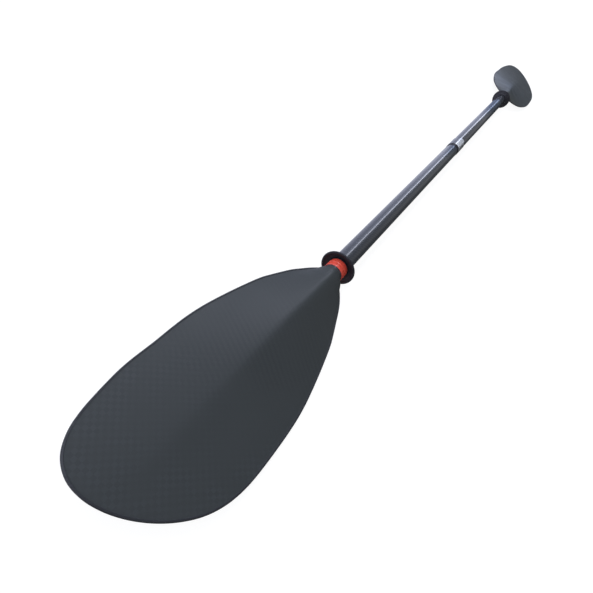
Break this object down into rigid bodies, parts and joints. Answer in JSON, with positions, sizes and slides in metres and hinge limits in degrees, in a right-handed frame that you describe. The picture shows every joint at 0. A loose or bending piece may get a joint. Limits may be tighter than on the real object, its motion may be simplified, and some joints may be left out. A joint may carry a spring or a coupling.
{
  "type": "kayak paddle",
  "caption": "Take-apart double-bladed touring kayak paddle: scooped asymmetric blades on a straight round shaft, push-button ferrule, drip rings and a collar at the joint.",
  "frame": {"origin": "on the shaft's axis at the middle of the paddle's whole length", "axes": "+X along the shaft from the left blade to the right blade, +Z out of the blades' power faces, +Y across the blades towards their long edges' side nearer the tip"},
  "size_m": [2.0904, 0.1775, 0.0552],
  "materials": {
    "blade_laminate": "satin slate grey carbon laminate with a faint plain weave",
    "edge_resin": "dark moulded resin bead, satin",
    "core_foam": "closed-cell foam, matt",
    "spar_carbon": "bare carbon tube, satin",
    "shaft_carbon": "clear-coated carbon weave, glossy",
    "red_trim": "red moulded ring, semi-gloss",
    "drip_rubber": "soft black rubber, matt",
    "ferrule_glass": "ground glass-fibre tube, satin",
    "silver_band": "glossy collar with a blank silver-white index patch",
    "button_steel": "stainless steel, polished head"
  },
  "bodies": {
    "right_half": {"right_blade_power_skin": "blade_laminate", "right_blade_back_skin": "blade_laminate", "right_blade_foam_core": "core_foam", "right_blade_edge_rim": "edge_resin", "right_neck_spar": "spar_carbon", "right_shaft_tube": "shaft_carbon", "right_trim_ring": "red_trim", "right_water_stop": "core_foam", "ferrule_sleeve": "ferrule_glass", "joint_band": "silver_band"},
    "seal": {"joint_seal": "drip_rubber"},
    "left_half": {"left_blade_power_skin": "blade_laminate", "left_blade_back_skin": "blade_laminate", "left_blade_foam_core": "core_foam", "left_blade_edge_rim": "edge_resin", "left_neck_spar": "spar_carbon", "left_shaft_tube": "shaft_carbon", "left_trim_ring": "red_trim", "left_water_stop": "core_foam", "male_ferrule": "ferrule_glass", "ferrule_end_plug": "drip_rubber", "snap_spring": "button_steel"},
    "button": {"snap_button": "button_steel"},
    "left_ring": {"left_drip_ring": "drip_rubber"},
    "right_ring": {"right_drip_ring": "drip_rubber"}
  },
  "joints": [
    {"name": "halves_pull_apart", "type": "slide", "parent": "right_half", "child": "seal", "axis": [-1, 0, 0], "range_m": [0, 0.12]},
    {"name": "halves_feather", "type": "hinge", "parent": "seal", "child": "left_half", "pos_m": [0, 0, 0], "axis": [1, 0, 0], "range_deg": [-60, 60], "deforming": ["snap_button"]},
    {"name": "button_press", "type": "slide", "parent": "left_half", "child": "button", "axis": [0, 0, 1], "range_m": [0, 0.0052], "stiffness_N_per_m": 900, "springref_m": -0.003, "deforming": ["snap_spring"]},
    {"name": "left_ring_slide", "type": "slide", "parent": "left_half", "child": "left_ring", "axis": [1, 0, 0], "range_m": [-0.003, 0.15]},
    {"name": "right_ring_slide", "type": "slide", "parent": "right_half", "child": "right_ring", "axis": [1, 0, 0], "range_m": [-0.12, 0.025]}
  ]
}
